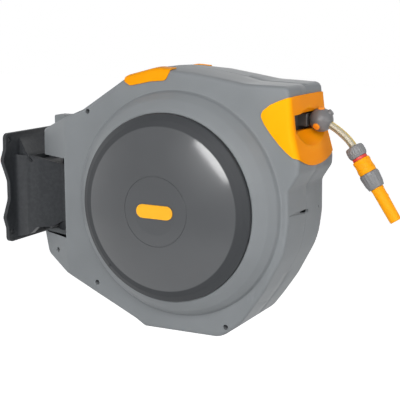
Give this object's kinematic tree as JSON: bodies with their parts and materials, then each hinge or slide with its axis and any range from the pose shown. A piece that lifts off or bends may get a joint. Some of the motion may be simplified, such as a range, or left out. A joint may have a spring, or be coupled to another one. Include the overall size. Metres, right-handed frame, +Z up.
{
  "type": "retractable hose reel",
  "caption": "Wall-mounted garden hose reel with a swivel bracket, spring-wound drum, traversing hose guide, ball stop and spray nozzle.",
  "frame": {"origin": "centre of the wall plate's flat back face", "axes": "+X straight out from the wall towards the nose, +Z up, +Y along the drum's axle towards the water inlet"},
  "size_m": [0.8867, 0.3858, 0.56],
  "materials": {
    "casing_grey": "satin moulded polypropylene",
    "disc_grey": "semi-gloss moulded ABS",
    "bracket_grey": "fine grained glass-filled nylon",
    "trim_yellow": "smooth moulded plastic",
    "trim_orange": "smooth moulded plastic",
    "ring_red": "smooth moulded plastic",
    "hose_cream": "soft extruded PVC",
    "steel": "zinc plated",
    "brass": "turned",
    "rubber": "matte",
    "nylon": "natural acetal"
  },
  "bodies": {
    "bracket": {"wall_bracket": "bracket_grey", "hinge_pin": "steel"},
    "reel": {"left_casing": "casing_grey", "right_casing": "casing_grey", "casing_screw_1": "steel", "casing_screw_2": "steel", "casing_screw_3": "steel", "casing_screw_4": "steel", "left_disc_cover": "disc_grey", "right_disc_cover": "disc_grey", "badge_plate": "trim_yellow", "left_bearing_plate": "bracket_grey", "right_bearing_plate": "bracket_grey", "drum_axle": "nylon", "inlet_stem": "nylon", "pawl_pin": "steel", "pawl_spring": "steel", "traverse_belt": "rubber", "guide_rod": "steel", "front_bezel": "trim_orange", "carry_grip": "trim_yellow"},
    "drum": {"hose_drum": "bracket_grey", "left_flange": "bracket_grey", "right_flange": "bracket_grey", "left_bush": "nylon", "right_bush": "nylon", "hose_core": "hose_cream", "wound_hose": "hose_cream", "power_spring": "steel", "rotary_elbow": "brass", "ratchet_wheel": "nylon", "drum_pulley": "nylon"},
    "screw": {"traverse_screw": "nylon"},
    "pawl": {"pawl": "steel"},
    "guide": {"guide_carriage": "bracket_grey", "screw_follower": "brass", "hose_lead": "hose_cream", "ball_upper": "casing_grey", "ball_lower": "casing_grey", "ball_pad_1": "trim_orange", "ball_pad_2": "trim_orange", "ball_pad_3": "trim_orange", "hose_tail": "hose_cream", "connector_nut": "casing_grey", "nut_ring": "ring_red", "nozzle_collar": "casing_grey"},
    "sleeve": {"connector_sleeve": "trim_yellow"},
    "nozzle": {"nozzle": "trim_yellow"}
  },
  "joints": [
    {"name": "reel_swivel", "type": "hinge", "parent": "bracket", "child": "reel", "pos_m": [0.115, 0, 0], "axis": [0, 0, 1], "range_deg": [-72, 72]},
    {"name": "drum_spin", "type": "hinge", "parent": "reel", "child": "drum", "pos_m": [0.45, 0, 0], "axis": [0, 1, 0], "range_deg": [0, 3240], "stiffness_Nm_per_rad": 0.1},
    {"name": "traverse_turn", "type": "hinge", "parent": "reel", "child": "screw", "pos_m": [0.653, 0, 0.149], "axis": [0, 1, 0], "range_deg": [0, 3240]},
    {"name": "pawl_swing", "type": "hinge", "parent": "reel", "child": "pawl", "pos_m": [0.3918, -0.0818, 0.0693], "axis": [0, 1, 0], "range_deg": [0, 8], "stiffness_Nm_per_rad": 0.1, "springref_deg": -11.46},
    {"name": "guide_traverse", "type": "slide", "parent": "reel", "child": "guide", "axis": [0, 1, 0], "range_m": [-0.072, 0]},
    {"name": "connector_release", "type": "slide", "parent": "guide", "child": "sleeve", "axis": [-0.5446, 0, 0.8387], "range_m": [0, 0.004], "stiffness_N_per_m": 400, "springref_m": -0.004},
    {"name": "nozzle_twist", "type": "hinge", "parent": "guide", "child": "nozzle", "pos_m": [0.783, 0.036, 0.127], "axis": [0.5446, 0, -0.8387], "range_deg": [0, 540]}
  ],
  "couplings": [
    {"joint": "traverse_turn", "follows": "drum_spin", "ratio": 1},
    {"joint": "guide_traverse", "follows": "drum_spin", "m_per_rad": -0.0012732}
  ]
}
